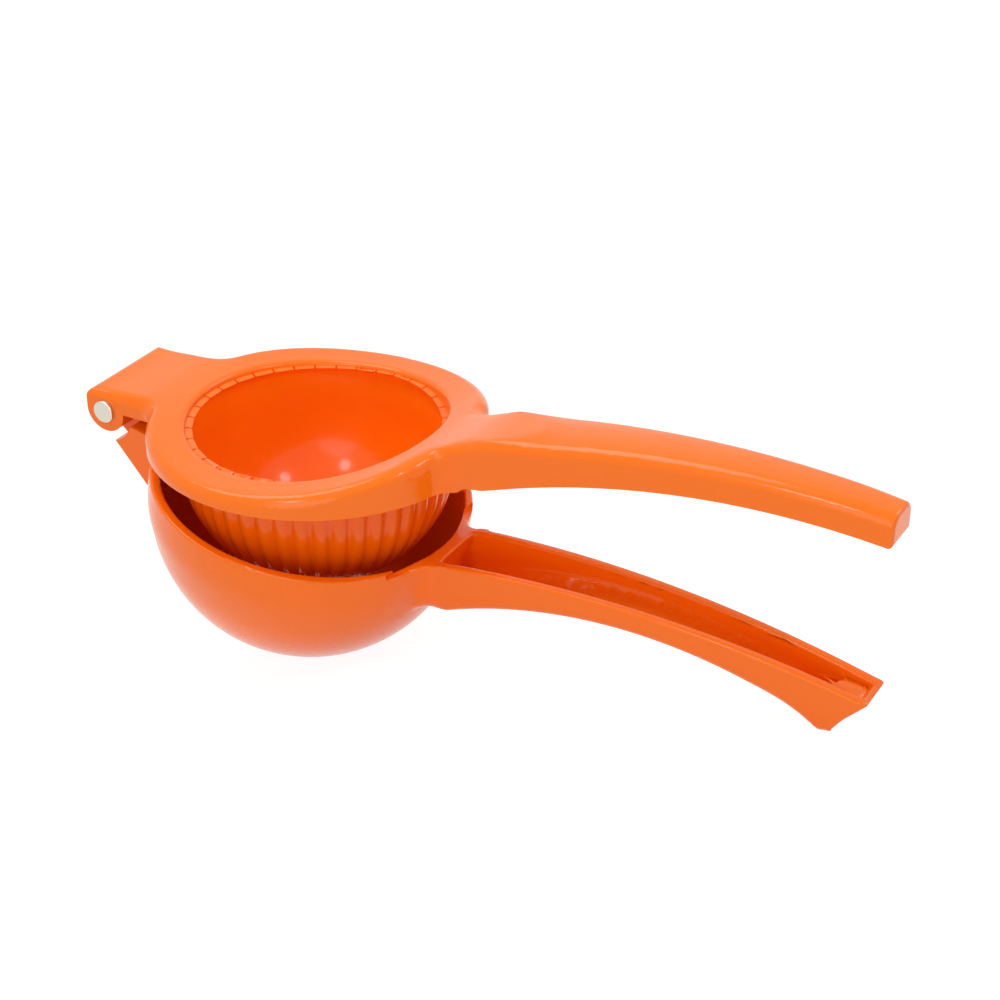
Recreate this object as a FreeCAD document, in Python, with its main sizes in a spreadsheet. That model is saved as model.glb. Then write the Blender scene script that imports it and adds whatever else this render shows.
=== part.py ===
import FreeCAD, Part
import math
import os

import Sketcher
from FreeCAD import Placement, Rotation, Vector

# Hinged citrus squeezer: a strainer cup on a channel-shaped lever, a fluted press cup on
# a second lever, and the rivet that joins them. Millimetres.
# Each lever is drawn about the centre of the hinge pin: X runs towards the handle's end,
# Y along the pin, Z square to the cup's rim or to the underside of the press flange.

# Driving dimensions.
sizes = {
    # hinge
    "hinge_width": 34.0,        # over the outer faces of the two ears
    "tongue_width": 22.4,
    "tongue_gap": 0.3,          # each side of the tongue, between the ears
    "eye_radius": 4.4,          # round end of the tongue, about the pin
    "roof_gap": 0.4,            # between the tongue's eye and the roof of the hood
    "ear_radius": 6.5,
    "pin_radius": 2.2,
    "pin_gap": 0.05,            # running clearance of the pin in the tongue
    "head_radius": 3.4,
    "head_height": 1.2,
    "head_round": 0.4,
    # shoulder of the strainer lever, cut round to clear the corner of the hood
    "shoulder_radius": 9.3,
    "shoulder_drop": 1.6,       # its flat top, below the pin
    "shoulder_round": 3.6,
    "shoulder_depth": 6.0,      # how far its back runs past the cup's outside
    "toe_drop": 8.2,            # its toe, below the pin
    "foot_reach": 15.3,         # a point on its underside, from the pin
    "foot_drop": 17.1,          # and below the pin
    # strainer cup
    "cup_offset": 62.6,         # from the pin to the axis of the cup
    "rim_drop": 4.0,            # the rim, below the pin
    "cup_radius": 46.5,
    "cup_wall": 2.5,
    "cup_lip": 5.0,             # straight lip above the round part
    "rim_round": 0.9,
    "drain_radius": 2.6,
    "drain_pitch": 11.0,        # between the rings of drain holes
    "drain_count": 6,           # in the inner ring
    # handle of the strainer lever, measured from the cup's axis and its rim
    "channel_end": 173.4,
    "channel_half_width": 11.8,
    "channel_taper": 0.0442,    # loss of half width over each millimetre
    "channel_crest": 158.0,
    "channel_height": 17.5,
    "channel_arc": 379.0,
    "belly_crest": 127.0,
    "belly_height": 9.1,
    "belly_arc": 140.0,
    "belly_crown": 34.0,        # radius of the rounded underside
    "belly_round": 3.0,
    "channel_wall": 2.8,
    "channel_floor": 2.8,
    "floor_round": 1.6,
    "end_wall": 4.0,            # measured along the top
    "heel_reach": 164.6,
    "heel_height": 3.4,
    "boss_reach": 161.5,
    "boss_radius": 3.2,
    "boss_depth": 2.6,          # its top, below the edge of the channel
    # press flange and hood
    "flange_offset": 63.1,      # from the pin to the axis of the press cup
    "flange_rise": 1.1,         # its underside, above the pin
    "flange_radius": 48.6,
    "flange_top": 4.65,         # above the pin, over the cup's axis
    "hood_top": 6.3,
    "hood_skirt": 0.2,
    "hood_reach": 16.5,
    "hood_fillet": 8.0,
    "edge_round": 3.0,
    "ramp_radius": 110.0,       # the top sweeps up along this arc, then runs straight
    "ramp_run": 36.0,
    "root_inset": 0.4,
    "root_fillet": 5.0,
    # handle of the press lever, measured from the flange's axis and its underside
    "arm_start": 44.0,
    "arm_end": 173.3,
    "arm_half_width": 12.0,
    "arm_taper": 0.0442,
    "arm_crest": 141.0,
    "arm_height": 27.5,
    "arm_arc": 342.0,
    "under_crest": 146.0,
    "under_height": 18.6,
    "under_arc": 245.0,
    "arm_crown": 40.0,          # radius of the rounded back
    "arm_round": 3.6,
    "tip_round": 1.2,
    "arm_wall": 2.8,
    "arm_roof": 3.2,
    "hollow_start": 60.0,
    "hollow_end": 168.5,
    # press cup
    "press_drop": 4.5,          # centre of its round part, below the flange's underside
    "press_radius": 38.4,       # between the ribs
    "press_wall": 2.4,
    "mouth_radius": 37.3,
    "mouth_round": 1.1,
    "rib_height": 1.2,
    "rib_radius": 2.9,
    "rib_count": 36,
    # pose as stored: opened by this angle, standing on the cup and the heel
    "open_angle": 10.25,
}

doc = FreeCAD.newDocument("squeezer")
sheet = doc.addObject("Spreadsheet::Sheet", "Dims")
for row, (alias, number) in enumerate(sizes.items(), start=1):
    sheet.set("A%d" % row, alias)
    sheet.set("B%d" % row, str(number))
    sheet.setAlias("B%d" % row, alias)
doc.recompute()


class Size:
    # A length or a ratio with the expression that gives it from the sheet's cells.
    def __init__(self, value, text):
        self.value = value
        self.text = text

    def __add__(self, other):
        other = as_size(other)
        return Size(self.value + other.value, "(%s + %s)" % (self.text, other.text))

    def __sub__(self, other):
        other = as_size(other)
        return Size(self.value - other.value, "(%s - %s)" % (self.text, other.text))

    def __mul__(self, other):
        other = as_size(other)
        return Size(self.value * other.value, "(%s * %s)" % (self.text, other.text))

    def __truediv__(self, other):
        other = as_size(other)
        return Size(self.value / other.value, "(%s / %s)" % (self.text, other.text))

    def __radd__(self, other):
        return as_size(other) + self

    def __rsub__(self, other):
        return as_size(other) - self

    def __rmul__(self, other):
        return as_size(other) * self

    def __neg__(self):
        return Size(-self.value, "(0 - %s)" % self.text)


def as_size(number):
    if isinstance(number, Size):
        return number
    return Size(float(number), repr(float(number)))


def root(size):
    return Size(math.sqrt(size.value), "sqrt(%s)" % size.text)


def leg(long_side, short_side):
    # the third side of a right-angled triangle
    return root(long_side * long_side - short_side * short_side)


class Dims:
    pass


dims = Dims()
for alias in sizes:
    setattr(dims, alias, Size(float(sheet.get(alias)), "Dims.%s" % alias))


def bind(target, path, size):
    target.setExpression(path, as_size(size).text)


def new_body(label):
    body = doc.addObject("PartDesign::Body", label)
    body.Label = label
    return body


def origin_plane(body, role):
    for feature in body.Origin.OriginFeatures:
        if feature.Role == role:
            return feature
    raise ValueError(role)


def new_sketch(body, name, role, shift_x=None, lift=None):
    # lift moves the sketch along its own normal
    sketch = body.newObject("Sketcher::SketchObject", name)
    sketch.AttachmentSupport = [(origin_plane(body, role), "")]
    sketch.MapMode = "FlatFace"
    if shift_x is not None:
        bind(sketch, ".AttachmentOffset.Base.x", shift_x)
    if lift is not None:
        bind(sketch, ".AttachmentOffset.Base.z", lift)
    return sketch


def fix_point(sketch, geometry, end, x, y):
    for kind, size in (("DistanceX", x), ("DistanceY", y)):
        size = as_size(size)
        index = sketch.addConstraint(Sketcher.Constraint(kind, geometry, end, size.value))
        bind(sketch, "Constraints[%d]" % index, size)


def draw_outline(sketch, corners):
    # Each corner is (x, y) for a straight run to the next one, or (x, y, radius, through)
    # for an arc of that radius, which passes near the point "through".
    ends = []
    for number, corner in enumerate(corners):
        following = corners[(number + 1) % len(corners)]
        start = Vector(as_size(corner[0]).value, as_size(corner[1]).value, 0)
        finish = Vector(as_size(following[0]).value, as_size(following[1]).value, 0)
        if len(corner) == 2:
            geometry = sketch.addGeometry(Part.LineSegment(start, finish), False)
        else:
            middle = Vector(as_size(corner[3][0]).value, as_size(corner[3][1]).value, 0)
            arc = Part.Arc(start, middle, finish)
            geometry = sketch.addGeometry(arc, False)
        first = 1 if sketch.getPoint(geometry, 1).distanceToPoint(start) < 1e-4 else 2
        ends.append((geometry, first, 3 - first))
    for number, (geometry, first, last) in enumerate(ends):
        following = ends[(number + 1) % len(ends)]
        sketch.addConstraint(
            Sketcher.Constraint("Coincident", geometry, last, following[0], following[1])
        )
    for corner, (geometry, first, last) in zip(corners, ends):
        fix_point(sketch, geometry, first, corner[0], corner[1])
        if len(corner) > 2:
            radius = as_size(corner[2])
            index = sketch.addConstraint(Sketcher.Constraint("Radius", geometry, radius.value))
            bind(sketch, "Constraints[%d]" % index, radius)


def draw_circle(sketch, x, y, radius):
    x, y, radius = as_size(x), as_size(y), as_size(radius)
    circle = Part.Circle(Vector(x.value, y.value, 0), Vector(0, 0, 1), radius.value)
    geometry = sketch.addGeometry(circle, False)
    index = sketch.addConstraint(Sketcher.Constraint("Radius", geometry, radius.value))
    bind(sketch, "Constraints[%d]" % index, radius)
    fix_point(sketch, geometry, 3, x, y)


def volume_of(body):
    doc.recompute()
    return body.Shape.Volume if not body.Shape.isNull() else 0.0


def add_feature(body, kind, name, sketch, adds, **settings):
    # adds is True where the feature has to gain volume, False where it has to lose some
    before = volume_of(body)
    feature = body.newObject("PartDesign::" + kind, name)
    feature.Profile = sketch
    for setting, value in settings.items():
        if isinstance(value, Size):
            bind(feature, setting, value)
        else:
            setattr(feature, setting, value)
    sketch.Visibility = False
    after = volume_of(body)
    if (after - before) * (1 if adds else -1) <= 0:
        raise RuntimeError("%s changed the volume by %.3f" % (name, after - before))
    return feature


def pad_across(body, name, sketch, width):
    return add_feature(body, "Pad", name, sketch, True, Length=width, Midplane=True)


def cut_across(body, name, sketch, width):
    return add_feature(body, "Pocket", name, sketch, False, Length=width, Midplane=True)


def turn(body, kind, name, sketch):
    axis = (sketch, ["V_Axis"])
    return add_feature(body, kind, name, sketch, kind == "Revolution", ReferenceAxis=axis, Angle=360.0)


def loft(body, kind, name, sections):
    before = volume_of(body)
    feature = body.newObject("PartDesign::" + kind, name)
    feature.Profile = sections[0]
    feature.Sections = sections[1:]
    after = volume_of(body)
    if (after > before) != (kind == "AdditiveLoft"):
        raise RuntimeError("%s changed the volume by %.3f" % (name, after - before))
    return feature


def fuse_with(body, name, other):
    before = volume_of(body)
    feature = body.newObject("PartDesign::Boolean", name)
    feature.Type = "Fuse"
    feature.setObjects([other])
    body.Tip = feature
    if volume_of(body) <= before:
        raise RuntimeError("%s added nothing" % name)
    return feature


def fillet_where(body, name, radius, wanted):
    base = body.Tip
    names = []
    for number, edge in enumerate(base.Shape.Edges, start=1):
        if wanted(edge):
            names.append("Edge%d" % number)
    if not names:
        raise RuntimeError("%s found no edges" % name)
    feature = body.newObject("PartDesign::Fillet", name)
    feature.Base = (base, names)
    bind(feature, "Radius", radius)
    doc.recompute()
    return feature


def on_arc(crest, height, radius, reach):
    # height of an arched line that peaks at "crest"
    return height - radius + leg(radius, reach - crest)


def arched_section(body, name, reach, half_width, low, high, crown, corner, upright):
    # A bar's section with one flat side and one rounded side: a crown arc between two
    # corner arcs, all tangent. The rounded side is up where "upright" is set.
    sketch = new_sketch(body, name, "YZ_Plane", lift=reach)
    side = 1 if upright else -1
    flat = low if upright else high
    peak = high if upright else low
    rise = leg(crown - corner, half_width - corner)
    centre_y = half_width - corner
    centre_z = peak + side * (rise - crown)
    crown_z = peak - side * crown
    share = crown / (crown - corner)
    touch_y = centre_y * share
    touch_z = crown_z + (centre_z - crown_z) * share
    corner_y = (half_width + touch_y) / 2 + corner * 0.06
    corner_z = (centre_z + touch_z) / 2 + side * corner * 0.12
    draw_outline(sketch, [
        (-half_width, flat),
        (-half_width, centre_z, corner, (-corner_y, corner_z)),
        (-touch_y, touch_z, crown, (as_size(0), peak)),
        (touch_y, touch_z, corner, (corner_y, corner_z)),
        (half_width, centre_z),
        (half_width, flat),
    ])
    sketch.Visibility = False
    return sketch


def cup_outline(sketch, radius, equator, top, edge_round):
    # half of a round-bottomed cup in section, with a rounded outer edge at its top
    along = 0.7071 * radius
    corner = 0.2929 * edge_round
    draw_outline(sketch, [
        (as_size(0), equator - radius, radius, (along, equator - along)),
        (radius, equator),
        (radius, top - edge_round, edge_round, (radius - corner, top - corner)),
        (radius - edge_round, top),
        (as_size(0), top),
    ])


def hollow_outline(sketch, radius, equator, top):
    along = 0.7071 * radius
    draw_outline(sketch, [
        (as_size(0), equator - radius, radius, (along, equator - along)),
        (radius, equator),
        (radius, top),
        (as_size(0), top),
    ])


# The strainer lever

def shoulder(body):
    # wedge that carries the tongue, as wide as the hood, hollowed about the pin
    top_x = leg(dims.shoulder_radius, dims.shoulder_drop)
    toe_x = leg(dims.shoulder_radius, dims.toe_drop)
    rim_x = dims.cup_offset - dims.cup_radius + dims.rim_round
    back = dims.cup_offset - dims.cup_radius + dims.shoulder_depth
    slope = (dims.foot_drop - dims.toe_drop) / (dims.foot_reach - toe_x)
    foot = dims.toe_drop + slope * (back - toe_x)
    step = dims.rim_drop - dims.shoulder_drop
    run = leg(dims.shoulder_round, dims.shoulder_round - step)
    middle = 0.7071 * dims.shoulder_radius
    sketch = new_sketch(body, "shoulder_profile", "XZ_Plane")
    draw_outline(sketch, [
        (top_x, -dims.shoulder_drop, dims.shoulder_radius, (middle, -middle)),
        (toe_x, -dims.toe_drop),
        (back, -foot),
        (back, -dims.rim_drop - dims.rim_round),
        (rim_x, -dims.rim_drop, dims.shoulder_round,
         (rim_x - run * 0.4, -dims.shoulder_drop - step * 0.4)),
        (rim_x - run, -dims.shoulder_drop),
    ])
    pad_across(body, "shoulder", sketch, dims.hinge_width)


def tongue(body):
    # round eye about the pin and the web that runs back into the shoulder
    far = dims.shoulder_radius
    eye = dims.eye_radius
    top_x = leg(far, dims.shoulder_drop)
    toe_x = leg(far, dims.toe_drop)
    along = eye * eye / (far * far)
    aside = eye * leg(far, eye) / (far * far)
    upper_x = along * top_x + aside * dims.shoulder_drop
    upper_z = aside * top_x - along * dims.shoulder_drop
    lower_x = along * toe_x - aside * dims.toe_drop
    lower_z = -(along * dims.toe_drop) - aside * toe_x
    sketch = new_sketch(body, "tongue_profile", "XZ_Plane")
    draw_outline(sketch, [
        (lower_x, lower_z),
        (toe_x, -dims.toe_drop),
        (top_x + 2.5, -dims.shoulder_drop - 4.5),
        (top_x, -dims.shoulder_drop),
        (upper_x, upper_z, eye, (-0.8 * eye, 0.6 * eye)),
    ])
    pad_across(body, "tongue", sketch, dims.tongue_width)


def channel_half_width(reach):
    return dims.channel_half_width - dims.channel_taper * (reach - dims.cup_radius)


def channel_edge(reach):
    return on_arc(dims.channel_crest, dims.channel_height, dims.channel_arc, reach)


def channel_belly(reach):
    return on_arc(dims.belly_crest, dims.belly_height, dims.belly_arc, reach)


def channel_bar(body):
    # bar with a rounded underside, trimmed along its arched top
    first = dims.cup_radius - 6.0
    span = dims.channel_end + 4.0 - first
    ceiling = dims.channel_height + 3.0 - dims.rim_drop
    sections = []
    for step in range(7):
        reach = first + step / 6 * span
        sections.append(arched_section(
            body, "bar_section_%d" % step, dims.cup_offset + reach,
            channel_half_width(reach), channel_belly(reach) - dims.rim_drop, ceiling,
            dims.belly_crown, dims.belly_round, False))
    loft(body, "AdditiveLoft", "bar", sections)


def channel_hollow(body):
    first = dims.cup_radius + 1.9
    span = dims.channel_end - first
    ceiling = dims.channel_height + 4.0 - dims.rim_drop
    sections = []
    for step in range(6):
        reach = first + step / 5 * span
        floor = channel_belly(reach) + dims.channel_floor
        sections.append(arched_section(
            body, "channel_section_%d" % step, dims.cup_offset + reach,
            channel_half_width(reach) - dims.channel_wall, floor - dims.rim_drop, ceiling,
            dims.belly_crown, dims.floor_round, False))
    loft(body, "SubtractiveLoft", "channel", sections)


def heel(body):
    # sloping end wall, from the heel up to the end of the channel
    low_x = dims.cup_offset + dims.heel_reach
    low_z = dims.heel_height - dims.rim_drop
    high_x = dims.cup_offset + dims.channel_end
    high_z = channel_edge(dims.channel_end) - dims.rim_drop
    run = high_x - low_x
    rise = high_z - low_z
    wall = dims.end_wall
    sketch = new_sketch(body, "end_wall_profile", "XZ_Plane")
    draw_outline(sketch, [
        (low_x + 0.2 * run - wall, low_z + 0.2 * rise),
        (low_x + 0.3 * run, low_z + 0.2 * rise),
        (high_x + 0.3 * run, high_z + 0.2 * rise),
        (high_x + 0.2 * run - wall, high_z + 0.2 * rise),
    ])
    inside = channel_half_width(dims.channel_end) - 0.5 * dims.channel_wall
    pad_across(body, "end_wall", sketch, 2.0 * inside)

    sketch = new_sketch(body, "heel_profile", "XZ_Plane")
    draw_outline(sketch, [
        (low_x - run, low_z - rise),
        (high_x + run, high_z + rise),
        (high_x + 3.0 * run, high_z + rise),
        (high_x + 3.0 * run, low_z - rise),
    ])
    cut_across(body, "heel", sketch, 4.0 * dims.channel_half_width)


def channel_top(body):
    # the edges of the channel follow one long arc
    first = dims.cup_radius - 7.0
    last = dims.channel_end + 6.0
    first_z = channel_edge(first) - dims.rim_drop
    last_z = channel_edge(last) - dims.rim_drop
    ceiling = dims.channel_height + 9.0 - dims.rim_drop
    peak = (dims.cup_offset + dims.channel_crest, dims.channel_height - dims.rim_drop)
    sketch = new_sketch(body, "top_profile", "XZ_Plane")
    draw_outline(sketch, [
        (dims.cup_offset + first, first_z, dims.channel_arc, peak),
        (dims.cup_offset + last, last_z),
        (dims.cup_offset + last, ceiling),
        (dims.cup_offset + first, ceiling),
    ])
    cut_across(body, "channel_top", sketch, 4.0 * dims.channel_half_width)


def channel_boss(body):
    # post in the closed end of the channel
    reach = dims.boss_reach
    foot = channel_belly(reach) + 1.0 - dims.rim_drop
    top = channel_edge(reach) - dims.boss_depth - dims.rim_drop
    sketch = new_sketch(body, "boss_outline", "XY_Plane", dims.cup_offset + reach, foot)
    draw_circle(sketch, 0, 0, dims.boss_radius)
    add_feature(body, "Pad", "boss", sketch, True, Length=top - foot)


def drain_holes(body):
    # one in the middle, then rings whose count grows with their radius
    sketch = new_sketch(body, "drain_middle", "XY_Plane", dims.cup_offset)
    draw_circle(sketch, 0, 0, dims.drain_radius)
    add_feature(body, "Pocket", "drain_centre", sketch, False, Type="ThroughAll")
    for ring in (1, 2):
        sketch = new_sketch(body, "drain_outline_%d" % ring, "XY_Plane", dims.cup_offset)
        draw_circle(sketch, ring * dims.drain_pitch, 0, dims.drain_radius)
        hole = add_feature(body, "Pocket", "drain_%d" % ring, sketch, False, Type="ThroughAll")
        pattern = body.newObject("PartDesign::PolarPattern", "drain_ring_%d" % ring)
        pattern.Originals = [hole]
        pattern.Axis = (sketch, ["N_Axis"])
        pattern.Angle = 360.0
        bind(pattern, "Occurrences", ring * dims.drain_count)
        body.Tip = pattern
        doc.recompute()


def cup_hollow(body, equator):
    # round-bottomed space, its upper edge rounded over on to the rim
    inner = dims.cup_radius - dims.cup_wall
    soft = dims.rim_round
    along = 0.7071 * inner
    corner = 0.2929 * soft
    rim = -dims.rim_drop
    sketch = new_sketch(body, "hollow_profile", "XZ_Plane", dims.cup_offset)
    draw_outline(sketch, [
        (as_size(0), equator - inner, inner, (along, equator - along)),
        (inner, equator),
        (inner, rim - soft, soft, (inner + corner, rim - corner)),
        (inner + soft, rim),
        (inner + soft, as_size(30.0)),
        (as_size(0), as_size(30.0)),
    ])
    turn(body, "Groove", "hollow", sketch)


def strainer_lever():
    body = new_body("strainer_lever")
    equator = -dims.rim_drop - dims.cup_lip

    sketch = new_sketch(body, "cup_profile", "XZ_Plane", dims.cup_offset)
    cup_outline(sketch, dims.cup_radius, equator, -dims.rim_drop, dims.rim_round)
    turn(body, "Revolution", "cup", sketch)

    shoulder(body)
    tongue(body)
    channel_bar(body)
    channel_hollow(body)
    heel(body)
    channel_top(body)
    channel_boss(body)
    cup_hollow(body, equator)

    drain_holes(body)

    sketch = new_sketch(body, "bore_outline", "XZ_Plane")
    draw_circle(sketch, 0, 0, dims.pin_radius + dims.pin_gap)
    cut_across(body, "bore", sketch, 2.0 * dims.hinge_width)
    return body


# The press lever

def flange_outline(sketch):
    # ring and hood seen from above, joined by hollow corners; two more corners lead to
    # the handle, and the last two points lie inside it
    half = dims.hinge_width / 2
    ring = dims.flange_radius
    bend = dims.hood_fillet
    share = ring / (ring + bend)
    back_x = leg(ring + bend, half + bend)
    hood_x = dims.flange_offset - back_x
    meet_x = dims.flange_offset - back_x * share
    meet_y = (half + bend) * share
    neck = dims.arm_half_width - dims.root_inset
    turn_in = dims.root_fillet
    part_share = ring / (ring + turn_in)
    front_x = leg(ring + turn_in, neck + turn_in)
    root_x = dims.flange_offset + front_x
    leave_x = dims.flange_offset + front_x * part_share
    leave_y = (neck + turn_in) * part_share
    bow_x = (hood_x + meet_x) / 2 + 0.12 * bend
    bow_y = (half + meet_y) / 2 - 0.12 * bend
    dip_x = (root_x + leave_x) / 2 - 0.12 * turn_in
    dip_y = (neck + leave_y) / 2 - 0.12 * turn_in
    tip = -dims.ear_radius
    side = dims.flange_offset
    draw_outline(sketch, [
        (tip, -half),
        (hood_x, -half, bend, (bow_x, -bow_y)),
        (meet_x, -meet_y, ring, (side, -ring)),
        (leave_x, -leave_y, turn_in, (dip_x, -dip_y)),
        (root_x, -neck),
        (side + dims.arm_start + 1.0, -0.6 * neck),
        (side + dims.arm_start + 1.0, 0.6 * neck),
        (root_x, neck, turn_in, (dip_x, dip_y)),
        (leave_x, leave_y, ring, (side, ring)),
        (meet_x, meet_y, bend, (bow_x, bow_y)),
        (hood_x, half),
        (tip, half),
    ])


def crown_cut(body, name):
    # The top falls gently from the hood, sweeps up along an arc and runs on straight,
    # until the back of the handle comes up through it.
    start_x = -dims.ear_radius - 2.0
    low_x = dims.flange_offset
    low_z = dims.flange_top
    fall = (dims.hood_top - low_z) / (low_x - start_x)
    stretch = root(1.0 + fall * fall)
    centre_x = low_x + dims.ramp_radius * fall / stretch
    centre_z = low_z + dims.ramp_radius / stretch
    mid_x = low_x + dims.ramp_run
    flat = leg(dims.ramp_radius, mid_x - centre_x)
    mid_z = centre_z - flat
    slope = (mid_x - centre_x) / flat
    end_x = low_x + dims.arm_end
    end_z = mid_z + slope * (end_x - mid_x)
    through = (centre_x, centre_z - dims.ramp_radius)
    sketch = new_sketch(body, name + "_profile", "XZ_Plane")
    draw_outline(sketch, [
        (start_x, dims.hood_top),
        (low_x, low_z, dims.ramp_radius, through),
        (mid_x, mid_z),
        (end_x, end_z),
        (start_x, end_z),
    ])
    cut_across(body, name, sketch, 3.0 * dims.flange_radius)


def ears(body):
    # round ears about the pin, with the skirt that ties them to the ring
    reach = dims.hood_reach
    ear = dims.ear_radius
    skirt = dims.hood_skirt
    side_x = leg(ear, skirt)
    sketch = new_sketch(body, "ear_profile", "XZ_Plane")
    draw_outline(sketch, [
        (-ear, as_size(0), ear, (as_size(0), -ear)),
        (side_x, skirt),
        (reach, skirt),
        (reach, dims.flange_rise + 1.5),
        (-ear, dims.flange_rise + 1.5),
    ])
    pad_across(body, "ears", sketch, dims.hinge_width)


def tongue_slot(body):
    roof = dims.eye_radius + dims.roof_gap
    inner = dims.shoulder_radius + 1.0
    bend = roof - dims.hood_skirt - 0.6
    corner = 0.2929 * bend
    sketch = new_sketch(body, "slot_profile", "XZ_Plane")
    draw_outline(sketch, [
        (-2.0 * dims.ear_radius, -2.0 * dims.ear_radius),
        (inner, -2.0 * dims.ear_radius),
        (inner, roof - bend, bend, (inner - corner, roof - corner)),
        (inner - bend, roof),
        (-2.0 * dims.ear_radius, roof),
    ])
    cut_across(body, "slot", sketch, dims.tongue_width + 2.0 * dims.tongue_gap)


def arm_half_width(reach):
    return dims.arm_half_width - dims.arm_taper * (reach - dims.arm_start)


def arm_back(reach):
    return dims.flange_rise + on_arc(dims.arm_crest, dims.arm_height, dims.arm_arc, reach)


def arm_underside(reach):
    return dims.flange_rise + on_arc(dims.under_crest, dims.under_height, dims.under_arc, reach)


def arm_body():
    # the handle on its own: rounded back, arched underside, top trimmed like the flange
    body = new_body("arm")
    span = dims.arm_end - dims.arm_start
    sections = []
    for step in range(7):
        reach = dims.arm_start + step / 6 * span
        sections.append(arched_section(
            body, "arm_section_%d" % step, dims.flange_offset + reach,
            arm_half_width(reach), dims.flange_rise, arm_back(reach),
            dims.arm_crown, dims.arm_round, True))
    loft(body, "AdditiveLoft", "arm_bar", sections)

    under_start = dims.under_crest - leg(dims.under_arc, dims.under_arc - dims.under_height)
    low_x = dims.flange_offset + under_start
    far = dims.arm_end + 5.0
    far_x = dims.flange_offset + far
    peak = (dims.flange_offset + dims.under_crest, dims.flange_rise + dims.under_height)
    sketch = new_sketch(body, "underside_profile", "XZ_Plane")
    draw_outline(sketch, [
        (low_x, dims.flange_rise, dims.under_arc, peak),
        (far_x, arm_underside(far)),
        (far_x, dims.flange_rise - 5.0),
        (low_x, dims.flange_rise - 5.0),
    ])
    cut_across(body, "underside", sketch, 4.0 * dims.arm_half_width)
    crown_cut(body, "arm_crown_cut")

    end_x = (dims.flange_offset + dims.arm_end).value

    def on_end_face(edge):
        return edge.BoundBox.XMin > end_x - 0.01

    fillet_where(body, "tip_edge", dims.tip_round, on_end_face)
    return body


def arm_hollow(body):
    first = dims.hollow_start
    span = dims.hollow_end - first
    sections = []
    for step in range(6):
        reach = first + step / 5 * span
        sections.append(arched_section(
            body, "hollow_section_%d" % step, dims.flange_offset + reach,
            arm_half_width(reach) - dims.arm_wall, dims.flange_rise - 3.0,
            arm_back(reach) - dims.arm_roof, dims.arm_crown, dims.arm_round / 2, True))
    loft(body, "SubtractiveLoft", "arm_hollow", sections)


def press_cup(body):
    # round-bottomed cup under the ring, with ribs that run down to its pole
    equator = dims.flange_rise - dims.press_drop
    sketch = new_sketch(body, "press_profile", "XZ_Plane", dims.flange_offset)
    hollow_outline(sketch, dims.press_radius, equator, dims.flange_rise + 1.0)
    turn(body, "Revolution", "press", sketch)

    first_angle = -12.0
    last_angle = 76.0
    steps = 5
    sections = []
    for step in range(steps + 1):
        angle = first_angle + (last_angle - first_angle) * step / steps
        shrink = math.cos(math.radians(max(angle, 0.0)))
        sketch = body.newObject("Sketcher::SketchObject", "rib_section_%d" % step)
        sketch.AttachmentSupport = [(origin_plane(body, "XY_Plane"), "")]
        sketch.MapMode = "FlatFace"
        offset = Placement(Vector(0, 0, 0), Rotation(Vector(0, 1, 0), angle))
        sketch.AttachmentOffset = offset
        bind(sketch, ".AttachmentOffset.Base.x", dims.flange_offset)
        bind(sketch, ".AttachmentOffset.Base.z", equator)
        width = dims.rib_radius * shrink
        draw_circle(sketch, dims.press_radius + dims.rib_height - width, 0, width)
        sections.append(sketch)
    rib = loft(body, "AdditiveLoft", "rib", sections)
    axis_sketch = new_sketch(body, "rib_axis", "XY_Plane", dims.flange_offset)
    draw_circle(axis_sketch, 0, 0, dims.rib_radius)
    pattern = body.newObject("PartDesign::PolarPattern", "ribs")
    pattern.Originals = [rib]
    pattern.Axis = (axis_sketch, ["N_Axis"])
    pattern.Angle = 360.0
    bind(pattern, "Occurrences", dims.rib_count)
    body.Tip = pattern
    doc.recompute()


def mouth(body):
    # round opening through the flange, with a soft upper edge
    sketch = new_sketch(body, "mouth_outline", "XY_Plane", dims.flange_offset)
    draw_circle(sketch, 0, 0, dims.mouth_radius)
    cut_across(body, "mouth", sketch, 4.0 * dims.arm_height)
    axis_x = dims.flange_offset.value
    radius = dims.mouth_radius.value
    lowest = dims.flange_rise.value + 0.1

    def on_mouth(edge):
        spots = [edge.valueAt(edge.FirstParameter), edge.valueAt(edge.LastParameter)]
        return min(spot.z for spot in spots) > lowest and all(
            abs(math.hypot(spot.x - axis_x, spot.y) - radius) < 0.01 for spot in spots)

    fillet_where(body, "mouth_edge", dims.mouth_round, on_mouth)


def bowl(body):
    # inside of the press cup, flaring a little to the mouth
    equator = dims.flange_rise - dims.press_drop
    inner = dims.press_radius - dims.press_wall
    along = 0.7071 * inner
    flare_z = dims.flange_rise + 1.0
    sketch = new_sketch(body, "bowl_profile", "XZ_Plane", dims.flange_offset)
    draw_outline(sketch, [
        (as_size(0), equator - inner, inner, (along, equator - along)),
        (inner, equator),
        (dims.mouth_radius, flare_z),
        (dims.mouth_radius - 1.0, flare_z + 2.0),
        (as_size(0), flare_z + 2.0),
    ])
    turn(body, "Groove", "bowl", sketch)


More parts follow.
